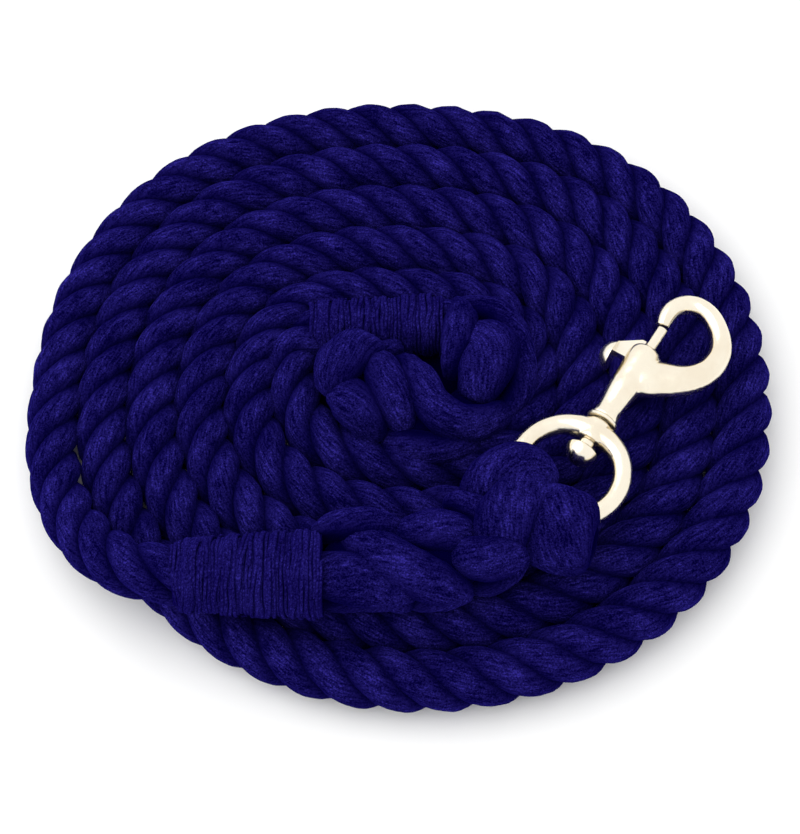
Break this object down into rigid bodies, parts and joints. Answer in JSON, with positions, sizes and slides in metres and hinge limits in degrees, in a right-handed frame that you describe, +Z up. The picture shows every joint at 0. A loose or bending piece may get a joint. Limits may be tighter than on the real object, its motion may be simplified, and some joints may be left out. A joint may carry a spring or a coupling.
{
  "type": "lead rope",
  "caption": "Coiled three-strand cotton lead rope with a whipped eye splice holding a swivel bolt snap, and a back-spliced tail.",
  "frame": {"origin": "on the surface that the coil rests on, under the middle of the whole object's box", "axes": "+X along the coil's longer side, towards the snap; +Y away from the snap end's whipping; +Z up"},
  "size_m": [0.278, 0.2548, 0.0516],
  "materials": {
    "cotton_rope": "soft laid cotton, deep navy",
    "whipping_twine": "wound cotton twine, deep navy",
    "plated_casting": "pale brass plating on a polished casting",
    "plated_steel": "pale brass plating on turned steel",
    "spring_steel": "bright spring wire"
  },
  "bodies": {
    "rope": {"rope_coil": "cotton_rope", "rope_lead": "cotton_rope", "splice_taper": "cotton_rope", "snap_whipping": "whipping_twine", "eye_splice": "cotton_rope", "eye_tuck_rear": "cotton_rope", "eye_tuck_front": "cotton_rope", "eye_tuck_side": "cotton_rope", "tail_rope": "cotton_rope", "tail_whipping": "whipping_twine", "back_splice": "cotton_rope", "tail_crown": "cotton_rope"},
    "ring": {"swivel_ring": "plated_casting"},
    "snap": {"hook_body": "plated_casting", "swivel_pin": "plated_steel", "swivel_washer": "plated_steel", "bolt_spring": "spring_steel"},
    "bolt": {"latch_bolt": "plated_steel", "thumb_stud": "plated_steel"}
  },
  "joints": [
    {"name": "ring_turn", "type": "hinge", "parent": "rope", "child": "ring", "pos_m": [0.0622, -0.0457, 0.034], "axis": [0, 0, 1], "range_deg": [-40, 20]},
    {"name": "snap_swivel", "type": "hinge", "parent": "ring", "child": "snap", "pos_m": [0.0622, -0.0457, 0.034], "axis": [-0.527, -0.8499, 0], "range_deg": [0, 180]},
    {"name": "bolt_slide", "type": "slide", "parent": "snap", "child": "bolt", "axis": [-0.527, -0.8499, 0], "range_m": [0, 0.0104], "stiffness_N_per_m": 400, "springref_m": -0.006, "deforming": ["bolt_spring"]}
  ]
}
